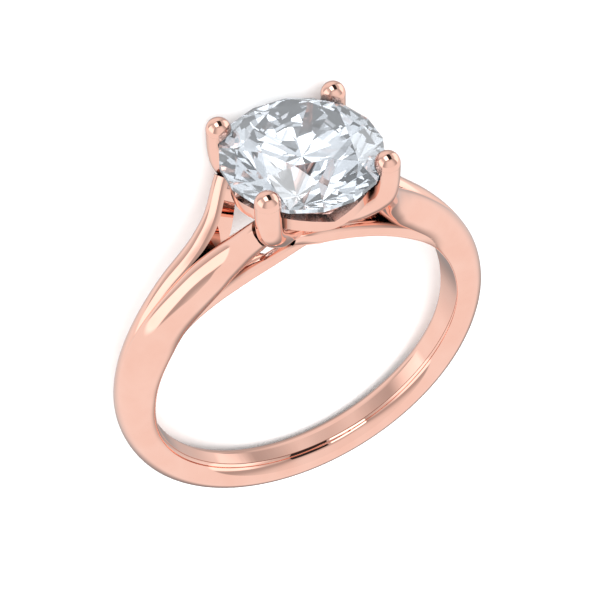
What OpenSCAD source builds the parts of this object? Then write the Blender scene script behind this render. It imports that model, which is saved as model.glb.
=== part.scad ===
// Solitaire engagement ring. A nearly round wire splits at each shoulder into two arms that
// rise to a four-claw head, with a pair of thin strands on the finger side and a V-shaped
// gallery rail, and the claws hold one round brilliant.
// Millimetres. The ring is drawn upright about the centre of its finger hole, with the finger
// along Y and the stone towards +Z, and is then laid on its side as it rests on a table.

/* [Ring] */
// Inner diameter, which sets the finger size
finger_d = 16.5; // [16:0.1:17]
// Pose of the finished ring
pose = "resting"; // [resting, upright]

/* [Wire] */
// Width of the wire along the finger
wire_w = 2.18; // [2:0.02:2.4]
// Height above the bore at which the wire is widest
wire_waist = 0.86; // [0.8:0.02:0.9]

/* [Claws] */
// Diameter of a claw and of the ball at its tip
claw_d = 1.13; // [1:0.01:1.2]
// Angle of the claws from the plane of the wire, in degrees
claw_turn = 42.7; // [42:0.1:46]

/* [Gallery rail] */
// Distance of the middle of the rail from the axis of the stone
rail_r = 2.93; // [2.85:0.01:3]
// Thickness of the rail, measured along its radius
rail_t = 0.50; // [0.4:0.01:0.6]

/* [Stone] */
// Diameter of the stone over its girdle
stone_d = 7.19; // [7:0.01:7.3]
// Width of the table as a share of the stone's diameter
table_share = 0.57; // [0.53:0.01:0.6]
// Slope of the crown's main facets, in degrees
crown_angle = 34.5; // [33:0.1:35]
// Slope of the pavilion's main facets, in degrees
pavilion_angle = 42.3; // [41.5:0.1:43]
// Thickness of the girdle
girdle_t = 0.2; // [0.1:0.01:0.25]
// Height of the middle of the girdle above the bore
girdle_h = 4.66; // [4.6:0.01:4.75]

/* [Hidden] */
bore_r = finger_d / 2;
wire_half = wire_w / 2;
claw_r = claw_d / 2;
stone_r = stone_d / 2;
table_r = stone_r * table_share;
crown_h = (stone_r - table_r) * tan(crown_angle);
pavilion_h = stone_r * tan(pavilion_angle);
// Radius at which the lower halves meet, as a share of the stone's
lower_share = 0.23;
// Gap between the stone and the metal cut away for it
seat_gap = 0.05;
// Depths by which the wire, the strands and their floor are drawn into the bore before the
// bore is cut, each its own so that no two of their undersides lie in one face
wire_sink = 0.15;
front_sink = 0.22;
back_sink = 0.29;
floor_sink = 0.36;

// Half of the wire, from the claw that it ends on round to the bottom of the ring. Columns:
// 0 angle from the top, 1 side offset of the core, 2 height of the core above the bore,
// 3 core to the inner flat, 4 core to the outer side, 5 core to the top, 6 core to the
// underside, 7 core to the edge of the bore's flat, 8 roundness of the inner corners.
// Where the halves meet, their inner flats reach a little past the middle of the wire, and
// with its sink the underside reaches a little past the bore
core = wire_half / 2;
lapped = core + 0.06;
wire_drop = wire_waist - 0.03;
HALF_WIRE = [
    [ 14.0, 1.88, 3.20, 0.55, 0.61, 0.56, 0.61,  0.00, 1.0],
    [ 20.0, 1.15, 2.11, 0.60, 0.70, 0.66, 0.70,  0.00, 1.0],
    [ 26.0, 0.74, 1.50, 0.60, 0.80, 0.78, 0.82,  0.00, 1.0],
    [ 32.0, 0.58, 1.15, 0.57, 0.84, 0.88, 0.93,  0.00, 0.9],
    [ 40.0, core, 0.99, lapped, 0.78, 0.89, 0.97,  0.10, 0.8],
    [ 50.0, core, 0.89, lapped, 0.65, 0.90, 0.92,  0.25, 0.5],
    [ 60.0, core, wire_waist, lapped, 0.57, 0.90, wire_drop, 0.41, 0.2],
    [ 75.0, core, wire_waist, lapped, core, 0.88, wire_drop, 0.35, 0],
    [ 85.0, core, wire_waist, lapped, core, 0.87, wire_drop, 0.29, 0],
    [105.0, core, wire_waist, lapped, core, 0.82, wire_drop, 0.01, 0],
    [125.0, core, wire_waist, lapped, core, 0.81, wire_drop, -0.15, 0],
    [150.0, core, wire_waist, lapped, core, 0.79, wire_drop, -0.20, 0],
    [180.0, core, wire_waist, lapped, core, 0.79, wire_drop, -0.21, 0],
];
// Strands on the finger side of the head, with the columns of HALF_WIRE. The first angle is
// the end near the middle of the head, past it where the strand runs under its neighbour
STRAND_FRONT = [
    [-6.5, 1.12, 0.98, 0.20, 0.22, 0.30, 0.30, 0.08, 0.8],
    [-2.0, 0.94, 0.60, 0.20, 0.22, 0.30, 0.34, 0.14, 0.6],
    [ 3.0, 0.88, 0.42, 0.20, 0.22, 0.32, 0.36, 0.20, 0.4],
    [10.0, 0.97, 0.34, 0.20, 0.22, 0.32, 0.34, 0.20, 0.4],
    [20.0, 1.05, 0.30, 0.20, 0.22, 0.33, 0.30, 0.20, 0.4],
    [33.0, 1.06, 0.30, 0.20, 0.22, 0.34, 0.30, 0.20, 0.4],
    [42.0, 0.96, 0.32, 0.25, 0.22, 0.36, 0.32, 0.20, 0.4],
    [52.0, 0.75, 0.34, 0.35, 0.25, 0.36, 0.34, 0.20, 0.4],
    [60.0, 0.60, 0.34, 0.45, 0.25, 0.36, 0.34, 0.20, 0.4],
];
STRAND_BACK = [
    [-6.0, 0.62, 0.28, 0.20, 0.20, 0.26, 0.28, 0.18, 0.4],
    [ 1.4, 0.70, 0.28, 0.20, 0.21, 0.28, 0.28, 0.19, 0.4],
    [ 9.0, 0.92, 0.28, 0.20, 0.22, 0.30, 0.28, 0.20, 0.4],
    [16.0, 1.03, 0.29, 0.20, 0.22, 0.32, 0.29, 0.20, 0.4],
    [26.0, 1.02, 0.30, 0.20, 0.22, 0.34, 0.30, 0.20, 0.4],
    [36.0, 0.88, 0.32, 0.25, 0.22, 0.36, 0.32, 0.20, 0.4],
    [48.0, 0.68, 0.34, 0.35, 0.22, 0.36, 0.34, 0.20, 0.4],
    [60.0, 0.60, 0.34, 0.45, 0.25, 0.36, 0.34, 0.20, 0.4],
];
// Half of the floor that joins the two sides' strands and leaves a slot under the stone
STRAND_FLOOR = [
    [13.0, 0.95, 0.10, 0.05, 0.10, 0.20, 0.10, 0.08, 0.2],
    [16.0, 0.70, 0.10, 0.25, 0.30, 0.20, 0.10, 0.28, 0.2],
    [20.0, 0.50, 0.10, 0.56, 0.50, 0.20, 0.10, 0.48, 0.2],
    [40.0, 0.45, 0.12, 0.51, 0.45, 0.25, 0.12, 0.40, 0.2],
    [60.0, 0.45, 0.20, 0.51, 0.35, 0.30, 0.20, 0.30, 0.2],
];

// Axis of a claw, from the middle of the head to its ball. Columns:
// 0 height above the bore, 1 distance from the stone's axis, 2 share of the claw's radius
CLAW = [
    [0.74, 0.00, 0.84],
    [1.00, 0.90, 0.80],
    [1.50, 1.72, 0.80],
    [1.84, 2.20, 0.88],
    [2.20, 2.64, 0.96],
    [2.60, 3.04, 1.00],
    [3.00, 3.42, 1.00],
    [3.40, 3.66, 1.00],
    [4.00, 3.75, 1.00],
    [5.07, 3.75, 1.00],
];
// Clearance round a claw at which the arm's full section stops
collar_gap = 0.18;
// Neck that carries on from an arm to its claw: angles of its ends and share of the arm
neck_from = 19;
neck_to = 14.3;
neck_share = 0.8;
// Gallery rail. Columns: 0 angle from the V, 1 height of the top face above the bore,
// 2 height of the underside
RAIL = [
    [ 0, 3.41, 3.00],
    [ 5, 3.50, 3.02],
    [15, 3.66, 3.08],
    [25, 3.77, 3.17],
    [45, 3.88, 3.28],
];

// Resting pose: the ring lies on a flat of its stone's girdle and on the bottom of its wire.
// The stone's turn puts that flat below, and the lean is measured from lying quite level
stone_turn = 11.25;
girdle_reach = stone_r * cos(stone_turn);
table_reach = table_r * cos(stone_turn);
girdle_z = bore_r + girdle_h;
wire_z = -bore_r - wire_waist;
wire_out = wire_z - HALF_WIRE[len(HALF_WIRE) - 1][5];
rest_lean = atan((girdle_reach - wire_half) / (girdle_z - girdle_t / 2 - wire_z));
rest_lift = wire_half * cos(rest_lean) - wire_z * sin(rest_lean);
// Middle of the resting ring between the stone's table and the bottom of the wire
table_end = (girdle_z + girdle_t / 2 + crown_h) * cos(rest_lean) + table_reach * sin(rest_lean);
rest_middle = (table_end + wire_out * cos(rest_lean)) / 2;

// Angles, in degrees, between the stations along an arm, the plain wire, a strand and a neck
arm_step = 4;
wire_step = 8.9;
strand_step = 5;
neck_step = 1.6;
// Angle past which the stations are those of the plain wire
arm_end = 62;
// Angles between the points of a section, for the wire, a strand and a neck
fine = 18;
medium = 30;
coarse = 30;
claw_sides = 12;
claw_phase = 7;
ball_step = 20;
rail_steps = 12;
// Half size of a block that holds the whole ring
ring_reach = 20;
// Length of the bore's cutter, and the points that OpenSCAD draws on its circle
bore_length = 12;
bore_points = 128;

// Smooth curve through the rows of a table, read by its first column
function row_before(table, x) =
    max([for (i = [0 : len(table) - 2]) if (table[i][0] <= x || i == 0) i]);
function slope(table, i) =
    let (a = max(i - 1, 0), b = min(i + 1, len(table) - 1))
    (table[b] - table[a]) / (table[b][0] - table[a][0]);
function row_at(table, x) =
    let (
        i = row_before(table, x),
        p = table[i],
        q = table[i + 1],
        w = q[0] - p[0],
        t = (x - p[0]) / w
    )
    (2 * t^3 - 3 * t^2 + 1) * p + (t^3 - 2 * t^2 + t) * w * slope(table, i)
    + (3 * t^2 - 2 * t^3) * q + (t^3 - t^2) * w * slope(table, i + 1);

function unit(v) = v / norm(v);

// Point at an angle from the top, a height above the bore and an offset along the finger
function on_ring(angle, height, side) =
    let (r = bore_r + height) [r * sin(angle), side, r * cos(angle)];

// Section of half a wire about its core, as pairs of side and height. The step is the angle
// between its points
function half_section(row, sink, step) =
    let (
        inner = row[3], outer = row[4], up = row[5], down = row[6], keel = row[7], k = row[8],
        top = -inner * (1 - k),
        bend = asin(inner * k / outer),
        fall = down * (1 - sqrt(max(0, 1 - pow(inner * k / down, 2))))
    )
    concat(
        [for (t = [3, 2, 1]) [top - outer * sin(bend * t / 3), up * cos(bend * t / 3)]],
        [for (a = [0 : step : 89]) [top + (outer - top) * sin(a), up * cos(a)]],
        [for (a = [0 : step : 90]) [keel + (outer - keel) * cos(a), -down * sin(a)]],
        [[keel, -down - sink], [-inner, fall - down - 1.3 * sink]]
    );

// Ring of points at a station, from its place, its direction and its section
function ring_points(place, along, section) =
    let (side = unit([0, 1, 0] - along[1] * along), up = cross(along, side))
    [for (p = section) place + p[0] * side + p[1] * up];

function folded(angle) = angle <= 180 ? angle : 360 - angle;
// Core of a wire at an angle, and the rings of points at a list of angles
function core_at(table, angle) =
    let (row = row_at(table, folded(angle))) on_ring(angle, row[2], row[1]);
function wire_rings(table, angles, sink, step) = [
    for (a = angles)
        let (
            row = row_at(table, folded(a)),
            along = unit(core_at(table, a + 0.5) - core_at(table, a - 0.5))
        )
        ring_points(core_at(table, a), along, half_section(row, sink * (1 - row[8]), step))
];

// Closed solid through a row of rings of points. A loop's last ring joins its first
module skin(rings, loop = false) {
    n = len(rings[0]);
    count = len(rings) * n;
    ends = loop ? [] : [[for (j = [0 : n - 1]) n - 1 - j], [for (j = [0 : n - 1]) count - n + j]];
    polyhedron(
        points = [for (ring = rings) each ring],
        faces = concat(
            ends,
            [
                for (i = [0 : len(rings) - (loop ? 1 : 2)]) for (j = [0 : n - 1])
                    let (a = i * n + j, b = i * n + (j + 1) % n, c = (a + n) % count, d = (b + n) % count)
                    each [[a, b, d], [a, d, c]]
            ]
        )
    );
}

// What lies on the +Y side of the middle of the wire
module beyond_middle() {
    intersection() {
        children();
        translate([-ring_reach, 0, -ring_reach]) cube([2 * ring_reach, ring_reach, 2 * ring_reach]);
    }
}

module half_wire() {
    arm = [for (a = [HALF_WIRE[0][0] : arm_step : arm_end - arm_step]) a];
    side = concat(arm, [for (a = [arm_end : wire_step : 179]) a]);
    back = [for (i = [len(side) - 1 : -1 : 0]) 360 - side[i]];
    beyond_middle() skin(wire_rings(HALF_WIRE, concat(side, [180], back), wire_sink, fine));
}

// Thinner end of an arm, from inside its full section to the claw
module neck() {
    share = [1, 1, 1, neck_share, neck_share, neck_share, neck_share, 1, 1];
    rows = [
        for (row = HALF_WIRE) if (row[0] < neck_from + 10) [for (i = [0 : 8]) share[i] * row[i]]
    ];
    skin(wire_rings(rows, [for (a = [neck_to : neck_step : neck_from]) a], 0, coarse));
}

module strand(table, sink) {
    last = table[len(table) - 1][0];
    skin(wire_rings(table, [for (a = [table[0][0] : strand_step : last]) a], sink, medium));
}

// Claw with its ball, or a fatter rod about the same axis. The phase turns its facets, so that
// those of the four claws don't meet edge to edge in the middle of the head
module claw(grow = 0, phase = 0) {
    tip = CLAW[len(CLAW) - 1];
    dome = [for (t = [ball_step : ball_step : 85]) [tip[0] + claw_r * sin(t), tip[1], cos(t)]];
    rows = concat(CLAW, dome);
    axis = [for (row = rows) [row[1], 0, bore_r + row[0]]];
    n = len(axis);
    skin([
        for (i = [0 : n - 1])
            let (
                along = unit(axis[min(i + 1, n - 1)] - axis[max(i - 1, 0)]),
                over = cross(along, [0, 1, 0]),
                r = claw_r * rows[i][2] + grow
            )
            [
                for (j = [0 : claw_sides - 1])
                    let (a = j * 360 / claw_sides + phase) axis[i] + r * (sin(a) * [0, 1, 0] + cos(a) * over)
            ]
    ]);
}

// Rail round the stone that dips to a V in the plane of the wire and across it
module rail() {
    steps = 4 * rail_steps;
    rings = [
        for (i = [0 : steps - 1])
            let (
                a = i * 360 / steps,
                from_v = 45 - abs((i % rail_steps) * 90 / rail_steps - 45),
                row = row_at(RAIL, from_v),
                top = bore_r + row[1],
                low = bore_r + row[2],
                r1 = rail_r - rail_t / 2,
                r2 = rail_r + rail_t / 2
            )
            [
                [r1 * cos(a), r1 * sin(a), low], [r2 * cos(a), r2 * sin(a), low],
                [r2 * cos(a), r2 * sin(a), top], [r1 * cos(a), r1 * sin(a), top]
            ]
    ];
    skin(rings, loop = true);
}

module claws(grow = 0) {
    turns = [claw_turn, 180 - claw_turn, 180 + claw_turn, -claw_turn];
    for (i = [0 : 3]) rotate([0, 0, turns[i]]) claw(grow, i * claw_phase);
}

module metal() {
    difference() {
        for (s = [0, 1]) mirror([0, s, 0]) half_wire();
        claws(collar_gap);
    }
    for (s = [0, 1], q = [0, 1]) mirror([0, s, 0]) mirror([q, 0, 0]) neck();
    for (turn = [0, 180]) rotate([0, 0, turn]) {
        mirror([0, 1, 0]) strand(STRAND_FRONT, front_sink);
        rotate([0, 0, 180]) strand(STRAND_BACK, back_sink);
    }
    for (s = [0, 1], q = [0, 1])
        mirror([0, s, 0]) mirror([q, 0, 0]) beyond_middle() strand(STRAND_FLOOR, floor_sink);
    claws();
    rail();
}

// Room for the stone, wider than its girdle by the seat's gap
module stone_seat() {
    r = stone_r + seat_gap;
    waist = girdle_t / 2;
    translate([0, 0, girdle_z]) rotate_extrude($fn = 64) polygon([
        [0, -waist - r * tan(pavilion_angle)],
        [r, -waist],
        [r, waist],
        [table_r, waist + (r - table_r) * tan(crown_angle)],
        [0, waist + (r - table_r) * tan(crown_angle)]
    ]);
}

// Points of a ring of facet corners
function corners(n, r, z, turn) =
    [for (i = [0 : n - 1]) [r * cos(i * 360 / n + turn), r * sin(i * 360 / n + turn), z]];

// Round brilliant about the middle of its girdle: table, 8 stars, 8 kites, 16 upper halves,
// girdle, 16 lower halves and 8 mains that meet in the culet
module brilliant() {
    star_r = (table_r * cos(22.5) + stone_r) / 2;
    star_h = crown_h * (stone_r - star_r * cos(22.5)) / (stone_r - table_r);
    lower_r = lower_share * stone_r;
    lower_h = pavilion_h * (1 - lower_r * cos(22.5) / stone_r);
    star = 8;
    upper = 16;
    under = 32;
    lower = 48;
    culet = 56;
    polyhedron(
        points = concat(
            corners(8, table_r, girdle_t / 2 + crown_h, 0),
            corners(8, star_r, girdle_t / 2 + star_h, 22.5),
            corners(16, stone_r, girdle_t / 2, 0),
            corners(16, stone_r, -girdle_t / 2, 0),
            corners(8, lower_r, -girdle_t / 2 - lower_h, 22.5),
            [[0, 0, -girdle_t / 2 - pavilion_h]]
        ),
        faces = concat(
            [[for (k = [7 : -1 : 0]) k]],
            [for (k = [0 : 7]) [k, (k + 1) % 8, star + k]],
            [for (k = [0 : 7]) [k, star + k, upper + 2 * k, star + (k + 7) % 8]],
            [for (k = [0 : 7]) [upper + 2 * k, star + k, upper + 2 * k + 1]],
            [for (k = [0 : 7]) [upper + 2 * k + 1, star + k, upper + (2 * k + 2) % 16]],
            [
                for (j = [0 : 15])
                    let (next = (j + 1) % 16) [upper + j, upper + next, under + next, under + j]
            ],
            [for (k = [0 : 7]) [under + 2 * k, under + 2 * k + 1, lower + k]],
            [for (k = [0 : 7]) [under + 2 * k + 1, under + (2 * k + 2) % 16, lower + k]],
            [for (k = [0 : 7]) [culet, lower + (k + 7) % 8, under + 2 * k, lower + k]]
        )
    );
}

// The bottom of the wire and the stone's girdle touch the table, and the origin lies on the
// table under the middle of the ring's outline
module laid() {
    if (pose == "upright") children();
    else translate([0, -rest_middle, rest_lift]) rotate([rest_lean - 90, 0, 0]) children();
}

module mounting() {
    color("#f0b9a5") laid() difference() {
        resize([0, 0, 0]) difference() {
            metal();
            stone_seat();
        }
        rotate([90, 0, 0]) cylinder(r = bore_r, h = bore_length, center = true, $fn = bore_points);
    }
}

module diamond() {
    color("#e8edf2") laid() translate([0, 0, girdle_z]) rotate([0, 0, stone_turn]) brilliant();
}

mounting();
diamond();
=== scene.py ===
# %% [markdown]
# # A rose-gold solitaire ring
# This lesson dresses one finger ring in Blender. The maker of the real one bends and solders
# rose-gold wire and then sets one round stone in claws. The construction, with its sizes,
# is already made elsewhere: we load it as a frame and give every surface its final shape,
# curve by curve, together with its finish, the light and a camera.

# %% Load the frame
from math import asin, atan, cos, degrees, pi, radians, sin, sqrt, tan

import bpy
import bmesh
import numpy as np
from mathutils import Matrix, Vector


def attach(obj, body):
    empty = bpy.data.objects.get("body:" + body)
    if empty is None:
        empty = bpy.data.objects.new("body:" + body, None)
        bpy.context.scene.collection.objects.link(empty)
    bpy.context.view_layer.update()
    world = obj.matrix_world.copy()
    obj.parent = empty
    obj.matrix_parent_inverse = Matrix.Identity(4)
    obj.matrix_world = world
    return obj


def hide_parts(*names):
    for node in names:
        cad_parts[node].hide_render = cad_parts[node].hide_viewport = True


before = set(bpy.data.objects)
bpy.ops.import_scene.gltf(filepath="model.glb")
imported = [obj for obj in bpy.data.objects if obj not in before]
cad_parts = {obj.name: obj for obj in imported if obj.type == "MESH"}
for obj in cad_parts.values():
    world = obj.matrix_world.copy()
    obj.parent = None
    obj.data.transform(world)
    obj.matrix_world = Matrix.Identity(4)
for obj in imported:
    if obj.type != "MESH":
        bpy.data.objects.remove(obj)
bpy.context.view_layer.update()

# %% [markdown]
# Blender counts in metres, and a jeweller counts in millimetres. Every size below is written
# in millimetres and multiplied by `MM` where a point is placed. Colours are written as the
# hex values that a picture editor shows, and one function turns them into the linear light
# that shaders work with. An operator acts on whatever is selected, so two more helpers clear
# and set the selection.

# %% Units, colours and selection
MM = 0.001


def to_linear(hex_colour):
    """A colour of a picture editor as the linear colour that a shader takes."""
    parts = [int(hex_colour[i:i + 2], 16) / 255 for i in (1, 3, 5)]
    return (*[c / 12.92 if c <= 0.04045 else ((c + 0.055) / 1.055) ** 2.4 for c in parts], 1.0)


def deselect():
    """Back to object mode, with nothing selected."""
    if bpy.context.object and bpy.context.object.mode != "OBJECT":
        bpy.ops.object.mode_set(mode="OBJECT")
    bpy.ops.object.select_all(action="DESELECT")


def pick(thing):
    """Selects this object alone and makes it the active one."""
    deselect()
    thing.select_set(True)
    bpy.context.view_layer.objects.active = thing


print("the editor's middle grey is", round(to_linear("#808080")[0], 3), "of white's light")

# %% [markdown]
# The ring is easiest to think about standing up: the finger along Y, the stone at the top,
# and a point named by its angle from the top and its height above the finger hole. It is
# stored as it comes to rest on a table, on its side, touching with the stone's girdle and
# the bottom of the band. One matrix takes the standing ring to the lying one.

# %% Main sizes and the resting pose
BORE_R = 8.25                   # the finger hole, 16.5 mm across
WIRE_HALF = 1.09                # width of each of the band's two half wires
WIRE_WAIST = 0.86               # height of the wire's core above the finger hole
WIRE_TOP = 0.79                 # height of its top above its core
STONE_R = 3.595                 # the stone, 7.2 mm across
TABLE_SHARE = 0.57              # width of the stone's table as a share of its girdle's
CROWN_ANGLE = radians(34.5)     # slope of the kites above the girdle
PAVILION_ANGLE = radians(42.3)  # slope of the mains below it
GIRDLE_T = 0.2                  # height of the girdle
GIRDLE_Z = BORE_R + 4.66        # height of its middle above the middle of the ring
STONE_TURN = radians(11.25)     # turn that gives the lying ring a flat of the girdle to rest on
TABLE_R = STONE_R * TABLE_SHARE
CROWN_H = (STONE_R - TABLE_R) * tan(CROWN_ANGLE)
PAVILION_H = STONE_R * tan(PAVILION_ANGLE)

wire_z = -BORE_R - WIRE_WAIST
lean = atan((STONE_R * cos(STONE_TURN) - WIRE_HALF) / (GIRDLE_Z - GIRDLE_T / 2 - wire_z))
lift = WIRE_HALF * cos(lean) - wire_z * sin(lean)
table_end = (GIRDLE_Z + GIRDLE_T / 2 + CROWN_H) * cos(lean) + TABLE_R * cos(STONE_TURN) * sin(lean)
middle = (table_end + (wire_z - WIRE_TOP) * cos(lean)) / 2
laid = Matrix.Translation((0, -middle * MM, lift * MM)) @ Matrix.Rotation(lean - pi / 2, 4, "X")
print("the ring leans", round(degrees(lean), 2), "degrees and its hole is centred",
      round(lift, 3), "mm above the table")

# %% [markdown]
# The camera comes first, because every later choice is judged through it. It keeps the
# photograph's angle to the ring: from the upper left, in front, looking down about 48
# degrees. A long lens of 79 mm from 66 mm away keeps the ring's far side nearly as large
# as its near side, as product photographers like it.

# %% Camera
FRAME_PIXELS = 600
FOCAL_PIXELS = 1310.12
SENSOR = 36
eye = Vector((-17.773, -37.889, 50.497)) * MM
forward = Vector((0.27991, 0.60339, -0.74671)).normalized()
right = Vector((0.90202, -0.43156, -0.01060))
right = (right - right.dot(forward) * forward).normalized()
up = right.cross(forward)
view = Matrix((right, up, -forward)).transposed().to_4x4()
view.translation = eye
camera_data = bpy.data.cameras.new("camera")
camera_data.sensor_width = SENSOR
camera_data.lens = SENSOR * FOCAL_PIXELS / FRAME_PIXELS
camera_data.clip_start = 1 * MM
camera = bpy.data.objects.new("camera", camera_data)
bpy.context.scene.collection.objects.link(camera)
camera.matrix_world = laid @ view
bpy.context.scene.camera = camera
bpy.context.scene.view_settings.view_transform = "Standard"
print("the camera stands at", [round(v / MM, 1) for v in camera.matrix_world.translation])

# %% [markdown]
# Every wire of the ring is described by a few rows: at an angle from the top of the ring,
# where its core lies and how far its surface reaches from the core. A smooth curve through
# the rows gives the wire everywhere between them, which is how a boat builder lofts a hull
# from a handful of frames. The underside of a wire stops a little short of the finger hole,
# and a step below it carries the metal on, so that the drill leaves a crisp edge there.

# %% Table of half the band's wire
# Columns: angle from the top, side offset of the core, height of the core above the bore,
# core to the inner flat, to the outer side, to the top, to the underside, to the edge of
# the bore's flat, and roundness of the inner corners
CORE = WIRE_HALF / 2
WAIST = WIRE_WAIST
UNDERSIDE_GAP = 0.03
DROP = WIRE_WAIST - UNDERSIDE_GAP
HALF_WIRE = np.array([
    [14.0, 1.88, 3.20, 0.55, 0.61, 0.56, 0.61, 0.00, 1.0],
    [20.0, 1.15, 2.11, 0.60, 0.70, 0.66, 0.70, 0.00, 1.0],
    [26.0, 0.74, 1.50, 0.60, 0.80, 0.78, 0.82, 0.00, 1.0],
    [32.0, 0.58, 1.15, 0.57, 0.84, 0.88, 0.93, 0.00, 0.9],
    [40.0, CORE, 0.99, CORE, 0.78, 0.89, 0.96, 0.10, 0.8],
    [50.0, CORE, 0.89, CORE, 0.65, 0.90, 0.86, 0.25, 0.5],
    [60.0, CORE, WAIST, CORE, 0.57, 0.90, DROP, 0.41, 0.2],
    [75.0, CORE, WAIST, CORE, CORE, 0.88, DROP, 0.35, 0.0],
    [85.0, CORE, WAIST, CORE, CORE, 0.87, DROP, 0.29, 0.0],
    [105.0, CORE, WAIST, CORE, CORE, 0.82, DROP, 0.01, 0.0],
    [125.0, CORE, WAIST, CORE, CORE, 0.81, DROP, -0.15, 0.0],
    [150.0, CORE, WAIST, CORE, CORE, WIRE_TOP, DROP, -0.20, 0.0],
    [180.0, CORE, WAIST, CORE, CORE, WIRE_TOP, DROP, -0.21, 0.0],
])
print("the band is", 2 * WIRE_HALF, "mm wide and", WIRE_WAIST + WIRE_TOP, "mm high")

# %% [markdown]
# The strands on the finger side are thinner wires with the same columns. The two narrow ones
# start a little beyond the top of the ring, where they cross, and the flat floor starts 13
# degrees short of it. All of them end where the arms part.

# %% Tables of the strands
STRAND_FRONT = np.array([
    [-6.5, 1.12, 0.98, 0.20, 0.22, 0.30, 0.28, 0.08, 0.8],
    [-2.0, 0.94, 0.60, 0.20, 0.22, 0.30, 0.32, 0.14, 0.6],
    [3.0, 0.88, 0.42, 0.20, 0.22, 0.32, 0.34, 0.20, 0.4],
    [10.0, 0.97, 0.34, 0.20, 0.22, 0.32, 0.32, 0.20, 0.4],
    [20.0, 1.05, 0.30, 0.20, 0.22, 0.33, 0.28, 0.20, 0.4],
    [33.0, 1.06, 0.30, 0.20, 0.22, 0.34, 0.28, 0.20, 0.4],
    [42.0, 0.96, 0.32, 0.25, 0.22, 0.36, 0.30, 0.20, 0.4],
    [52.0, 0.75, 0.34, 0.35, 0.25, 0.36, 0.32, 0.20, 0.4],
    [60.0, 0.60, 0.34, 0.45, 0.25, 0.36, 0.32, 0.20, 0.4],
])
STRAND_BACK = np.array([
    [-6.0, 0.62, 0.28, 0.20, 0.20, 0.26, 0.26, 0.18, 0.4],
    [1.4, 0.70, 0.28, 0.20, 0.21, 0.28, 0.26, 0.19, 0.4],
    [9.0, 0.92, 0.28, 0.20, 0.22, 0.30, 0.26, 0.20, 0.4],
    [16.0, 1.03, 0.29, 0.20, 0.22, 0.32, 0.27, 0.20, 0.4],
    [26.0, 1.02, 0.30, 0.20, 0.22, 0.34, 0.28, 0.20, 0.4],
    [36.0, 0.88, 0.32, 0.25, 0.22, 0.36, 0.30, 0.20, 0.4],
    [48.0, 0.68, 0.34, 0.35, 0.22, 0.36, 0.32, 0.20, 0.4],
    [60.0, 0.60, 0.34, 0.45, 0.25, 0.36, 0.32, 0.20, 0.4],
])
STRAND_FLOOR = np.array([
    [13.0, 0.95, 0.10, 0.05, 0.10, 0.20, 0.08, 0.08, 0.2],
    [16.0, 0.70, 0.10, 0.25, 0.30, 0.20, 0.08, 0.28, 0.2],
    [20.0, 0.50, 0.10, 0.50, 0.50, 0.20, 0.08, 0.48, 0.2],
    [40.0, 0.45, 0.12, 0.45, 0.45, 0.25, 0.10, 0.40, 0.2],
    [60.0, 0.45, 0.20, 0.45, 0.35, 0.30, 0.18, 0.30, 0.2],
])
print("a narrow strand is", round(STRAND_FRONT[4][3:5].sum(), 2), "mm wide")

# %% [markdown]
# A claw is round, so its rows are simpler, and they go up from its foot to its ball. The
# rail's rows go from the bottom of one V to the middle of the arch beside it.

# %% Tables of a claw and the rail
# Columns: height above the bore, distance from the stone's axis, share of the claw's radius
CLAW = np.array([
    [0.74, 0.00, 0.84],
    [1.00, 0.90, 0.80],
    [1.50, 1.72, 0.80],
    [1.84, 2.20, 0.88],
    [2.20, 2.64, 0.96],
    [2.60, 3.04, 1.00],
    [3.00, 3.42, 1.00],
    [3.40, 3.66, 1.00],
    [4.00, 3.75, 1.00],
    [5.07, 3.75, 1.00],
])
# Columns: angle from the V, height of the top face above the bore, height of the underside
RAIL = np.array([
    [0, 3.41, 3.00],
    [5, 3.50, 3.02],
    [15, 3.66, 3.08],
    [25, 3.77, 3.17],
    [45, 3.88, 3.28],
])
print("a claw's ball has its middle", CLAW[-1][0], "mm above the finger hole")


# %% [markdown]
# Between two rows runs a cubic curve that leaves each row with the slope between its two
# neighbours. It passes through every row, and has no kinks that polished metal would show.

# %% A smooth curve through a table's rows
def row_at(table, x):
    """The row that the table would have at x."""
    i = int(np.clip(np.searchsorted(table[:, 0], x, side="right") - 1, 0, len(table) - 2))
    last = len(table) - 1

    def slope(k):
        a, b = max(k - 1, 0), min(k + 1, last)
        return (table[b] - table[a]) / (table[b][0] - table[a][0])

    p, q = table[i], table[i + 1]
    width = q[0] - p[0]
    t = (x - p[0]) / width
    return ((2 * t**3 - 3 * t**2 + 1) * p + (t**3 - 2 * t**2 + t) * width * slope(i)
            + (3 * t**2 - 2 * t**3) * q + (t**3 - t**2) * width * slope(i + 1))


print("height of the wire's core at 45 degrees:", round(row_at(HALF_WIRE, 45)[2], 3), "mm")


# %% [markdown]
# The section of half a wire is a flat inner side, where the two halves meet or part, an
# upper and an outer quarter of an ellipse, and a flat that the finger hole later trims.
# Where the halves have parted, the inner corners are rounded as well, until each arm is
# round.

# %% Section of half a wire
BEND_STEPS = 6


def half_section(row, sink, step):
    """The outline of half a wire, from the inner flat over the top to the bore's flat."""
    _, _, _, inner, outer, top_h, down, keel, rounded = row
    top = -inner * (1 - rounded)
    bend = asin(min(1.0, inner * rounded / outer))
    fall = down * (1 - sqrt(max(0.0, 1 - (inner * rounded / down) ** 2)))
    bends = [bend * t / BEND_STEPS for t in range(BEND_STEPS, 0, -1)]
    points = [(top - outer * sin(a), top_h * cos(a)) for a in bends]
    turns = np.radians(np.arange(0, 90 + step / 2, step))
    points += [(top + (outer - top) * sin(a), top_h * cos(a)) for a in turns[:-1]]
    points += [(keel + (outer - keel) * cos(a), -down * sin(a)) for a in turns]
    return points + [(keel, -down - sink), (-inner, -down - sink + fall)]


print("half the band's section has", len(half_section(HALF_WIRE[-1], 0, 6)), "corners")


# %% [markdown]
# Each section stands square across the wire, as a slice through the real wire would. The
# wire's direction is read from its core half a degree to both sides of the slice.

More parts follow.
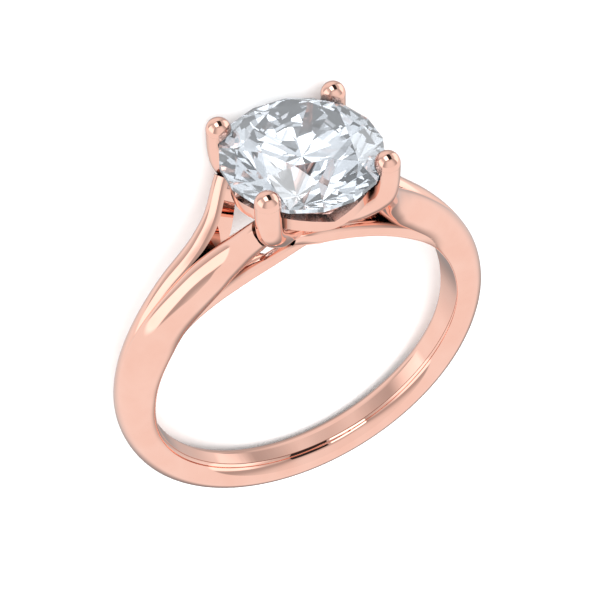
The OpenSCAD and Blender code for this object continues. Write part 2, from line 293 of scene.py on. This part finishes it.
# %% Rings of points along a wire
HALF_DEGREE = 0.5


def on_ring(angle, height, side):
    """The point at that angle from the top, so far above the finger hole and to the side."""
    r = BORE_R + height
    return np.array([r * sin(radians(angle)), side, r * cos(radians(angle))])


def row_round(table, angle):
    """The row at an angle anywhere round the ring, whose two sides are alike."""
    return row_at(table, angle if angle <= 180 else 360 - angle)


def core_at(table, angle):
    """The middle of the wire at that angle."""
    row = row_round(table, angle)
    return on_ring(angle, row[2], row[1])


def wire_rings(table, angles, sink, step):
    """One ring of points for each angle, square across the wire there."""
    rings = []
    for angle in angles:
        row = row_round(table, angle)
        along = core_at(table, angle + HALF_DEGREE) - core_at(table, angle - HALF_DEGREE)
        along /= np.linalg.norm(along)
        side = np.array([0, 1, 0]) - along[1] * along
        side /= np.linalg.norm(side)
        over = np.cross(along, side)
        centre = core_at(table, angle)
        section = half_section(row, sink * (1 - row[8]), step)
        rings.append([centre + p[0] * side + p[1] * over for p in section])
    return np.array(rings) * MM


print("the core at the bottom of the ring lies at", core_at(HALF_WIRE, 180).round(2), "mm")


# %% [markdown]
# To sweep a section along its path by hand, you add a circle, give it the section's shape,
# and then extrude it again and again, moving and reshaping each new ring. That is what
# `sweep` does: one circle primitive, and one extrusion for each station of the wire.

# %% Sweep a section with extrusions
def sweep(name, rings):
    """A closed wire through the rings of points."""
    deselect()
    bpy.ops.mesh.primitive_circle_add(vertices=len(rings[0]), radius=MM, fill_type="NGON")
    wire = bpy.context.object
    wire.name = name
    bpy.ops.object.mode_set(mode="EDIT")
    mesh = bmesh.from_edit_mesh(wire.data)
    mesh.faces.ensure_lookup_table()
    ring = list(mesh.faces[0].verts)
    for vert, point in zip(ring, rings[0]):
        vert.co = point
    for points in rings[1:]:
        before = {tuple(vert.co): i for i, vert in enumerate(ring)}
        bpy.ops.mesh.extrude_region()
        mesh = bmesh.from_edit_mesh(wire.data)
        fresh = [vert for vert in mesh.verts if vert.select]
        ring = sorted(fresh, key=lambda vert: before[tuple(vert.co)])
        for vert, point in zip(ring, points):
            vert.co = point
    bpy.ops.mesh.select_all(action="SELECT")
    bpy.ops.mesh.normals_make_consistent(inside=False)
    bpy.ops.object.mode_set(mode="OBJECT")
    print(name, "has", len(wire.data.vertices), "points")
    return wire


# %% [markdown]
# Each kind of wire is modelled once and then copied, mirrored and turned. Solder joins the
# copies: in Blender that is a boolean modifier for each piece, applied straight away.

# %% Copy, join and cut
def turned(piece, name, mirror="", turn=0.0):
    """A copy of the piece, mirrored in the planes across those axes, then turned about Z."""
    pick(piece)
    bpy.ops.object.duplicate()
    twin = bpy.context.object
    twin.name = name
    twin.scale = [-1 if axis in mirror else 1 for axis in "XYZ"]
    bpy.ops.object.transform_apply(location=True, rotation=True, scale=True)
    twin.rotation_euler = (0, 0, turn)
    bpy.ops.object.transform_apply(location=True, rotation=True, scale=True)
    bpy.ops.object.mode_set(mode="EDIT")
    bpy.ops.mesh.select_all(action="SELECT")
    bpy.ops.mesh.normals_make_consistent(inside=False)
    bpy.ops.object.mode_set(mode="OBJECT")
    return twin


def joined(piece, others, operation):
    """The piece with the others added or cut away, by one boolean modifier after another."""
    for other in others:
        pick(piece)
        step = piece.modifiers.new("solder", "BOOLEAN")
        step.operation = operation
        step.solver = "MANIFOLD"
        step.object = other
        bpy.ops.object.modifier_apply(modifier=step.name)
    for other in others:
        bpy.data.objects.remove(other)
    return piece


# %% [markdown]
# The band is made as two half wires side by side. Round the back they touch along their
# flats and read as one wire. At each shoulder they part and rise as two arms towards the
# head, and each arm ends in a rounded shoulder a hair short of its claw.

# %% Half wires
BORE_SINK = 0.15         # depth of the step that carries the metal on into the finger hole
ARM_END, SPLIT = 14, 60  # degrees from the top, where an arm ends and where two arms part
arm_angles = list(np.arange(ARM_END, SPLIT, 1.0))
band_angles = list(np.arange(SPLIT, 180, 2.0))
one_side = arm_angles + band_angles
angles = one_side + [180.0] + [360 - a for a in reversed(one_side)]
far_half = sweep("far_half", wire_rings(HALF_WIRE, angles, BORE_SINK, 6))
near_half = turned(far_half, "near_half", mirror="Y")

# %% [markdown]
# A claw starts low in the middle of the head, runs outwards and up under the stone, stands
# up past the girdle and ends in a round ball. The setter melts or burrs that ball into a
# bead that holds the stone's edge.

# %% Claws
CLAW_R = 0.565
CLAW_TURN = radians(42.7)
CLAW_ENDS = [CLAW_TURN, pi - CLAW_TURN, pi + CLAW_TURN, -CLAW_TURN]
CLAW_SIDES = 40
CLAW_UPRIGHT = 3.6
BEND_STRIDE, UPRIGHT_STRIDE = 0.08, 0.12
foot, ball_height, ball_out = CLAW[0][0], CLAW[-1][0], CLAW[-1][1]


def claw_rings(grow):
    """Rings round the claw's stem grown by that much, close together where it bends."""
    heights = np.concatenate([np.arange(foot, CLAW_UPRIGHT, BEND_STRIDE),
                              np.arange(CLAW_UPRIGHT, ball_height, UPRIGHT_STRIDE)])
    rows = [row_at(CLAW, h) for h in heights]
    axis = np.array([[row[1], 0, BORE_R + row[0]] for row in rows])
    rings = []
    for i, row in enumerate(rows):
        along = axis[min(i + 1, len(axis) - 1)] - axis[max(i - 1, 0)]
        along /= np.linalg.norm(along)
        over = np.cross(along, [0, 1, 0])
        r = CLAW_R * row[2] + grow
        rings.append([axis[i] + r * (sin(a) * np.array([0, 1, 0]) + cos(a) * over)
                      for a in np.arange(CLAW_SIDES) * 2 * pi / CLAW_SIDES])
    return np.array(rings) * MM


claw_stem = sweep("claw_stem", claw_rings(0))
deselect()
bpy.ops.mesh.primitive_uv_sphere_add(segments=48, ring_count=24, radius=CLAW_R * MM,
                                     location=(ball_out * MM, 0, (BORE_R + ball_height) * MM))
ball = bpy.context.object
bpy.ops.object.transform_apply(location=True, rotation=True, scale=True)
claw = joined(claw_stem, [ball], "UNION")
claws = [turned(claw, "claw", turn=a) for a in CLAW_ENDS]
bpy.data.objects.remove(claw)
print("opposite balls stand", 2 * ball_out, "mm apart")

# %% [markdown]
# A little clearance round each claw stops the arm's full section short of it, and a thinner
# neck inside carries on to the claw. Seen from outside this is the rounded end of the arm
# with a narrow shadowed gap before the claw, where the solder sits.

# %% Collars and necks
COLLAR_GAP = 0.09
NECK_SHARE = 0.8
NECK_START, NECK_STEPS = 18.8, 6
collar = sweep("collar", claw_rings(COLLAR_GAP))
for half in (far_half, near_half):
    joined(half, [turned(collar, "collar", turn=a) for a in CLAW_ENDS], "DIFFERENCE")
bpy.data.objects.remove(collar)
FOUR_WAYS = ("", "X", "Y", "XY")
thinner = HALF_WIRE[:3] * np.array([1, 1, 1] + 4 * [NECK_SHARE] + [1, 1])
neck_angles = np.linspace(ARM_END, NECK_START, NECK_STEPS + 1)
neck = sweep("neck", wire_rings(thinner, neck_angles, 0, 10))
necks = [turned(neck, "neck", mirror=m) for m in FOUR_WAYS]
bpy.data.objects.remove(neck)

# %% [markdown]
# Along the finger side of the head run thin strands, two from each shoulder. Those of one
# pair stay low, and those of the other climb over them to the foot of a claw, so that they
# cross in front. A flat floor joins the strands towards the shoulders and leaves a slot
# under the stone, which lets light in and makes the stone easy to clean.

# %% Strands and floors
STRAND_STEPS, FLOOR_STEPS = 50, 40


def strand(name, table, count, step):
    """One strand in that many lengths, with a corner of its section every step degrees."""
    angles = np.linspace(table[0][0], SPLIT, count + 1)
    return sweep(name, wire_rings(table, angles, BORE_SINK, step))


front = strand("strand_front", STRAND_FRONT, STRAND_STEPS, 9)
back = strand("strand_back", STRAND_BACK, STRAND_STEPS, 9)
strands = []
for turn in (0, pi):
    strands.append(turned(front, "strand", mirror="Y", turn=turn))
    strands.append(turned(back, "strand", turn=pi + turn))
floor_part = strand("strand_floor", STRAND_FLOOR, FLOOR_STEPS, 15)
strands += [turned(floor_part, "strand_floor", mirror=m) for m in FOUR_WAYS]
for spare in (front, back, floor_part):
    bpy.data.objects.remove(spare)

# %% [markdown]
# The gallery rail ties the claws together under the stone. It is a flat ring, and it dips
# to a V at the front, back and sides so that it never touches the stone's cone. A sweep
# has two ends, so the rail is made as two halves. The first runs one station into the
# second, so that they surely unite.

# %% Gallery rail
RAIL_R, RAIL_T = 2.93, 0.50
RAIL_STEPS = 192
V_EVERY = 90  # degrees from one V to the next
rings = []
for a in np.linspace(0, 2 * pi, RAIL_STEPS + 1):
    from_v = V_EVERY / 2 - abs(degrees(a) % V_EVERY - V_EVERY / 2)
    _, top, low = row_at(RAIL, from_v)
    out = np.array([cos(a), sin(a), 0])
    section = [(-RAIL_T / 2, low), (RAIL_T / 2, low), (RAIL_T / 2, top), (-RAIL_T / 2, top)]
    rings.append([(RAIL_R + s) * out + np.array([0, 0, BORE_R + h]) for s, h in section])
rail_path = np.array(rings) * MM
half_way = RAIL_STEPS // 2
rail_halves = [sweep("rail", rail_path[:half_way + 2]), sweep("rail", rail_path[half_way:])]

# %% [markdown]
# Solder makes one piece of all this, so boolean modifiers unite the wires, claws and rail.
# Then two cutters do what the jeweller's tools do: a long drill trues the finger hole, and
# a burr with the stone's own profile cuts the seat in the claws.

# %% Solder, drill and cut the seat
DRILL_SIDES, DRILL_LENGTH = 360, 12
BURR_SIDES, BURR_TIP = 128, 0.001
SEAT_GAP = 0.05
mounting = joined(far_half, [near_half] + necks + strands + claws + rail_halves, "UNION")
mounting.name = "mounting_polished"
deselect()
bpy.ops.mesh.primitive_cylinder_add(vertices=DRILL_SIDES, radius=BORE_R * MM,
                                    depth=DRILL_LENGTH * MM, rotation=(pi / 2, 0, 0))
drill = bpy.context.object
bpy.ops.object.transform_apply(location=True, rotation=True, scale=True)
seat_r = STONE_R + SEAT_GAP
seat = [(-GIRDLE_T / 2 - seat_r * tan(PAVILION_ANGLE), BURR_TIP), (-GIRDLE_T / 2, seat_r),
        (GIRDLE_T / 2, seat_r), (GIRDLE_T / 2 + (seat_r - TABLE_R) * tan(CROWN_ANGLE), TABLE_R)]
turns = np.arange(BURR_SIDES) * 2 * pi / BURR_SIDES
burr = sweep("burr", np.array([[(r * cos(a), r * sin(a), GIRDLE_Z + h) for a in turns]
                               for h, r in seat]) * MM)
joined(mounting, [drill, burr], "DIFFERENCE")
print("the mounting has", len(mounting.data.polygons), "faces")

# %% [markdown]
# A round brilliant has a table, 8 stars, 8 kites and 16 upper halves above the girdle, and
# 16 lower halves and 8 mains below it. The rings of corners are known from the angles, and
# the facets between them are flat by construction, so the stone is made as the convex hull
# of its corners, and its girdle is a narrow band of sixteen flats. The lower facets stand at
# 42.3 degrees, a little steeper than most cutters choose, because the stone is seen from
# well off its axis, and flatter ones would let the metal under it show through.

# %% Cut the stone
def corners(count, r, z, turn):
    """A ring of corners, so far out from the stone's axis and above its girdle's middle."""
    steps = turn + np.arange(count) * 2 * pi / count + STONE_TURN
    return [(r * cos(a), r * sin(a), GIRDLE_Z + z) for a in steps]


SIXTEENTH = radians(22.5)
LOWER_SHARE = 0.23
FLAT_WITHIN = radians(0.3)
star_r = (TABLE_R * cos(SIXTEENTH) + STONE_R) / 2
star_h = CROWN_H * (STONE_R - star_r * cos(SIXTEENTH)) / (STONE_R - TABLE_R)
lower_r = LOWER_SHARE * STONE_R
lower_h = PAVILION_H * (1 - lower_r * cos(SIXTEENTH) / STONE_R)
stone_points = (
    corners(8, TABLE_R, GIRDLE_T / 2 + CROWN_H, 0)
    + corners(8, star_r, GIRDLE_T / 2 + star_h, SIXTEENTH)
    + corners(16, STONE_R, GIRDLE_T / 2, 0)
    + corners(16, STONE_R, -GIRDLE_T / 2, 0)
    + corners(8, lower_r, -GIRDLE_T / 2 - lower_h, SIXTEENTH)
    + [(0, 0, GIRDLE_Z - GIRDLE_T / 2 - PAVILION_H)]
)
deselect()
bpy.ops.mesh.primitive_circle_add(vertices=len(stone_points), radius=MM)
brilliant = bpy.context.object
brilliant.name = "brilliant"
for vert, point in zip(brilliant.data.vertices, stone_points):
    vert.co = Vector(point) * MM
bpy.ops.object.mode_set(mode="EDIT")
bpy.ops.mesh.select_all(action="SELECT")
bpy.ops.mesh.convex_hull()
bpy.ops.mesh.dissolve_limited(angle_limit=FLAT_WITHIN)
bpy.ops.mesh.normals_make_consistent(inside=False)
bpy.ops.object.mode_set(mode="OBJECT")
print("the stone has", len(brilliant.data.polygons), "facets")

# %% [markdown]
# Both pieces now go to their resting place with the one matrix, which is applied to their
# meshes, and the polished metal is shaded smooth wherever it turns by less than 30 degrees.
# The stone stays flat-shaded: its life is in its flat facets.

# %% Lay the ring down
SMOOTH_BELOW = radians(30)
for piece in (mounting, brilliant):
    pick(piece)
    piece.matrix_world = laid
    bpy.ops.object.transform_apply(location=True, rotation=True, scale=True)
pick(mounting)
bpy.ops.object.shade_smooth_by_angle(angle=SMOOTH_BELOW)
pick(brilliant)
bpy.ops.object.shade_flat()
deselect()
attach(mounting, "root")
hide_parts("mounting")
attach(brilliant, "root")
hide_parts("diamond")
print("the lying mounting is", [round(v / MM, 2) for v in mounting.dimensions], "mm")


# %% [markdown]
# Materials are small networks of nodes. One function adds a node with its settings and its
# links, and every material below is built with it.

# %% A helper for shader nodes
def node_in(owner, kind, settings=None, links=None):
    """A new node. A setting names a property or an input, and a link names an input."""
    node = owner.node_tree.nodes.new(kind)
    for key, value in (settings or {}).items():
        if isinstance(key, int) or key in node.inputs:
            node.inputs[key].default_value = value
        else:
            setattr(node, key, value)
    for key, source in (links or {}).items():
        owner.node_tree.links.new(source.outputs[0] if hasattr(source, "outputs") else source,
                                  node.inputs[key])
    return node


def new_material(name):
    """A material that has no nodes yet."""
    material = bpy.data.materials.new(name)
    material.use_nodes = True
    material.node_tree.nodes.clear()
    return material


# %% [markdown]
# Rose gold is gold alloyed with copper. This ring is 14 carat, cast or drawn as wire and
# then polished on a buffing wheel, so the eye sees a pale pink mirror. A hand-polished
# surface is never quite even: it carries a faint waviness, and the buffing leaves hairlines
# about a hundredth of a millimetre wide, drawn here coarser so that they can show. Shade is
# painted into the creases: wherever other metal stands closer than 0.6 mm, the colour is
# darkened towards a greyish brown.

# %% Polished rose gold
WAVE, HAIRLINE, CREASE_SHADE_REACH = 1.6 * MM, 0.12 * MM, 0.6 * MM
gold = new_material("rose_gold_14_carat_polished")
place = node_in(gold, "ShaderNodeTexCoord").outputs["Object"]
waves = node_in(gold, "ShaderNodeTexNoise", {"Scale": 1 / WAVE, "Detail": 2.0},
                {"Vector": place})
lines = node_in(gold, "ShaderNodeTexNoise", {"Scale": 1 / HAIRLINE, "Detail": 4.0},
                {"Vector": place})
tone = node_in(gold, "ShaderNodeValToRGB", links={"Fac": waves})
tone.color_ramp.elements[0].position, tone.color_ramp.elements[1].position = 0.3, 0.7
tone.color_ramp.elements[0].color = to_linear("#F7C4B2")
tone.color_ramp.elements[1].color = to_linear("#FACBBA")
gloss = node_in(gold, "ShaderNodeMapRange", {"To Min": 0.01, "To Max": 0.04}, {"Value": lines})
polish = node_in(gold, "ShaderNodeBump", {"Strength": 0.04, "Distance": 0.02 * MM},
                 {"Height": waves})
# Painted shade in the creases: the colour darkens towards a greyish brown where other metal stands
# within 0.6 mm
crease_occlusion = node_in(gold, "ShaderNodeAmbientOcclusion", {"Distance": CREASE_SHADE_REACH}).outputs["AO"]
unshaded_share = node_in(gold, "ShaderNodeMapRange", {"From Min": 0.3, "From Max": 0.85},
                     {"Value": crease_occlusion})
# A mix of colours has its two colours on inputs 6 and 7 and gives its result on output 2
# Input 6 holds the greyish brown of the painted crease shade
colour = node_in(gold, "ShaderNodeMix", {"data_type": "RGBA", 6: to_linear("#80706A")},
                 {0: unshaded_share, 7: tone})
metal = node_in(gold, "ShaderNodeBsdfPrincipled", {"Metallic": 1.0},
                {"Base Color": colour.outputs[2], "Roughness": gloss, "Normal": polish})
node_in(gold, "ShaderNodeOutputMaterial", links={"Surface": metal})
mounting.data.materials.clear()
mounting.data.materials.append(gold)
print("rose gold uses", len(gold.node_tree.nodes), "nodes")

# %% [markdown]
# Diamond bends light more than any other clear stone: its index is 2.417. The facets are
# polished to a mirror on a turning lap, which leaves next to no roughness. A renderer follows
# a ray past only so many facets, and what it drops would leave parts of the stone too dark.
# A very faint glow stands in for that light, and two parts in a hundred are scattered at
# the surface, as by the film that a finger leaves on a stone.

# %% Cut diamond
LAP_MARK = 0.3 * MM
DIAMOND_IOR = 2.417
diamond = new_material("diamond_cut_and_polished")
place = node_in(diamond, "ShaderNodeTexCoord").outputs["Object"]
lap = node_in(diamond, "ShaderNodeTexNoise", {"Scale": 1 / LAP_MARK, "Detail": 2.0},
              {"Vector": place})
lap_gloss = node_in(diamond, "ShaderNodeMapRange", {"To Min": 0.0, "To Max": 0.006},
                    {"Value": lap})
crystal = node_in(diamond, "ShaderNodeBsdfPrincipled",
                  {"Base Color": to_linear("#ECF5FF"), "IOR": DIAMOND_IOR,
                   "Transmission Weight": 0.98, "Emission Color": to_linear("#F0F8FF"),
                   "Emission Strength": 0.022},
                  {"Roughness": lap_gloss})
node_in(diamond, "ShaderNodeOutputMaterial", links={"Surface": crystal})
brilliant.data.materials.clear()
brilliant.data.materials.append(diamond)
print("diamond uses", len(diamond.node_tree.nodes), "nodes")

# %% [markdown]
# The ring lies on a sheet of white paper. Uncoated paper is matt, and its fibres make the
# white vary a little from place to place. The sheet is kept out of the metal's reflections,
# because a standing ring has no paper beside it, only the room.

# %% Floor
PAPER_FIBRE = 0.8 * MM
deselect()
bpy.ops.mesh.primitive_plane_add(size=2.0)
paper_floor = bpy.context.object
paper_floor.name = "paper_floor"
paper = new_material("white_paper")
place = node_in(paper, "ShaderNodeTexCoord").outputs["Object"]
fibres = node_in(paper, "ShaderNodeTexNoise", {"Scale": 1 / PAPER_FIBRE, "Detail": 3.0},
                 {"Vector": place})
paper_tone = node_in(paper, "ShaderNodeValToRGB", links={"Fac": fibres})
paper_tone.color_ramp.elements[0].color = to_linear("#F4F4F4")
paper_tone.color_ramp.elements[1].color = to_linear("#FAFAFA")
sheet = node_in(paper, "ShaderNodeBsdfPrincipled", {"Roughness": 0.9}, {"Base Color": paper_tone})
node_in(paper, "ShaderNodeOutputMaterial", links={"Surface": sheet})
paper_floor.data.materials.append(paper)
paper_floor.visible_glossy = False
print("the sheet is", paper_floor.dimensions.x, "m wide")

# %% [markdown]
# Polished metal only shows what stands round it, so a room that is white all over would
# leave the ring without edges. The room is drawn from the direction of each ray, turned with
# the ring, so that the lying ring shows the reflections that it has when it stands. Three
# values are read from that direction: how far it goes across the ring, along the finger, and
# up.

# %% Directions in the room
room = bpy.data.worlds.new("studio_room")
bpy.context.scene.world = room
room.use_nodes = True
room.node_tree.nodes.clear()
look = node_in(room, "ShaderNodeTexCoord").outputs["Generated"]
stood = node_in(room, "ShaderNodeVectorRotate",
                {"rotation_type": "X_AXIS", "Angle": pi / 2 - lean}, {"Vector": look})
across, along, height = node_in(room, "ShaderNodeSeparateXYZ", links={"Vector": stood}).outputs
flat = node_in(room, "ShaderNodeVectorMath", {"operation": "MULTIPLY", 1: (1, 1, 0)}, {0: stood})
level = node_in(room, "ShaderNodeVectorMath", {"operation": "LENGTH"}, {0: flat}).outputs["Value"]
print("the room is turned by", round(degrees(pi / 2 - lean), 1), "degrees")

# %% [markdown]
# Two bright walls stand to the left and right, and plainer ones in front and behind, with
# darker corners between them. The side walls fade upwards, and all of them pass into a grey
# ceiling.

# %% Walls and ceiling
SMOOTH = {"interpolation_type": "SMOOTHSTEP"}
SIDE_WALL = {"From Min": 0.86, "From Max": 0.92}
SIDE_FADE = {"From Min": 0.45, "From Max": 0.72, "To Min": 1.0, "To Max": 0.2}
FRONT_WALL = {"From Min": 0.55, "From Max": 0.97, "To Min": 0.50, "To Max": 0.95}
CEILING = {"From Min": 0.78, "From Max": 0.90, "To Min": 1.0, "To Max": 0.65}
WALL_SLANT = 0.11
sideways = node_in(room, "ShaderNodeMath", {"operation": "ABSOLUTE"}, {0: across})
sideways = node_in(room, "ShaderNodeMath", {"operation": "MULTIPLY_ADD", 1: WALL_SLANT},
                   {0: along, 2: sideways})
sideways = node_in(room, "ShaderNodeMath", {"operation": "DIVIDE"}, {0: sideways, 1: level})
ahead = node_in(room, "ShaderNodeMath", {"operation": "ABSOLUTE"}, {0: along})
ahead = node_in(room, "ShaderNodeMath", {"operation": "DIVIDE"}, {0: ahead, 1: level})
side_wall = node_in(room, "ShaderNodeMapRange", SMOOTH | SIDE_WALL, {"Value": sideways})
side_fade = node_in(room, "ShaderNodeMapRange", SMOOTH | SIDE_FADE, {"Value": height})
front_wall = node_in(room, "ShaderNodeMapRange", SMOOTH | FRONT_WALL, {"Value": ahead})
walls = node_in(room, "ShaderNodeMath", {"operation": "MULTIPLY_ADD"},
                {0: side_wall, 1: side_fade, 2: front_wall})
dimming = node_in(room, "ShaderNodeMapRange", SMOOTH | CEILING, {"Value": height})
upper = node_in(room, "ShaderNodeMath", {"operation": "MULTIPLY"}, {0: walls, 1: dimming})
print("the side walls glow at", 1.0 + FRONT_WALL["To Min"], "and the front one at",
      FRONT_WALL["To Max"])

# %% [markdown]
# The ceiling has a bright window and a dark panel beside it, and every ball of the claws
# mirrors them as a pair. A pane is given by the slopes of the rays that meet it, across the
# ring and along the finger, so it is a true rectangle overhead.

# %% Window and panel
WINDOW_GLOW, PANEL_GLOW = 2.4, 0.03
PANE_EDGE = 0.01
slopes = [node_in(room, "ShaderNodeMath", {"operation": "DIVIDE"}, {0: way, 1: height})
          for way in (across, along)]


def pane(middle, half):
    """The share of a rectangular pane overhead, 1 inside it and 0 outside."""
    shares = []
    for slope, centre, reach in zip(slopes, middle, half):
        away = node_in(room, "ShaderNodeMath", {"operation": "SUBTRACT", 1: centre}, {0: slope})
        away = node_in(room, "ShaderNodeMath", {"operation": "ABSOLUTE"}, {0: away})
        edge = {"From Min": reach + PANE_EDGE, "From Max": reach - PANE_EDGE}
        shares.append(node_in(room, "ShaderNodeMapRange", SMOOTH | edge, {"Value": away}))
    return node_in(room, "ShaderNodeMath", {"operation": "MULTIPLY"}, {0: shares[0], 1: shares[1]})


window = pane(middle=(-0.27, 0.03), half=(0.26, 0.37))
panel = pane(middle=(0.29, 0.09), half=(0.26, 0.51))
upper = node_in(room, "ShaderNodeMix", {"B": WINDOW_GLOW}, {"Factor": window, "A": upper})
upper = node_in(room, "ShaderNodeMix", {"B": PANEL_GLOW}, {"Factor": panel, "A": upper})
print("the window is", WINDOW_GLOW / PANEL_GLOW, "times as bright as the panel")

# %% [markdown]
# Below the ring the room is white. It grows dim towards three fixed directions: almost
# straight down, level behind the ring, and low behind it, which is where the photographer
# looks. That gives the band and its inner wall their darker edges.

# %% Dim directions
HORIZON = {"From Min": 0.04, "From Max": -0.04}


def toward(way, edge, full, share):
    """The share of light that is left towards one direction."""
    facing = node_in(room, "ShaderNodeVectorMath", {"operation": "DOT_PRODUCT", 1: way}, {0: stood})
    fall = {"From Min": edge, "From Max": full, "To Min": 1.0, "To Max": share}
    return node_in(room, "ShaderNodeMapRange", SMOOTH | fall, {"Value": facing.outputs["Value"]})


under = toward((0.24, 0.24, -0.94), edge=0.75, full=0.99, share=0.4)
below = node_in(room, "ShaderNodeMapRange", SMOOTH | HORIZON, {"Value": height})
light = node_in(room, "ShaderNodeMix", links={"Factor": below, "A": upper, "B": under})
for left in (toward((0.366, 0.907, -0.208), edge=0.80, full=0.97, share=0.67),
             toward((0.28, 0.603, -0.747), edge=0.45, full=0.92, share=0.72)):
    light = node_in(room, "ShaderNodeMath", {"operation": "MULTIPLY"}, {0: light, 1: left})
glow = node_in(room, "ShaderNodeBackground", {"Strength": 1.0}, {"Color": light})
node_in(room, "ShaderNodeOutputWorld", links={"Surface": glow})
print("the room uses", len(room.node_tree.nodes), "nodes")


# %% [markdown]
# Two soft boxes complete the light. One whitens the paper and lays the ring's soft shadow on
# it, and one shines down into the stone. Both are left out of the metal's reflections, which
# already have all that they need from the room.

# %% Soft boxes
LAMP_DISTANCE = 0.5


def soft_box(name, direction, size, power, on_paper, in_stone):
    """A square lamp that polished metal doesn't mirror, for the paper or for the stone."""
    light_data = bpy.data.lights.new(name, "AREA")
    light_data.size = size
    light_data.energy = power
    lamp = bpy.data.objects.new(name, light_data)
    bpy.context.scene.collection.objects.link(lamp)
    way = laid.to_3x3() @ Vector(direction).normalized()
    lamp.location = way * LAMP_DISTANCE
    lamp.rotation_euler = (-way).to_track_quat("-Z", "Y").to_euler()
    lamp.visible_glossy = False
    lamp.visible_diffuse = on_paper
    lamp.visible_transmission = in_stone


soft_box("paper_light", (-0.2, -0.9, 0.9), size=0.8, power=5.2, on_paper=True, in_stone=False)
soft_box("stone_light", (-0.1, -0.2, 1.0), size=0.6, power=0.2, on_paper=False, in_stone=True)
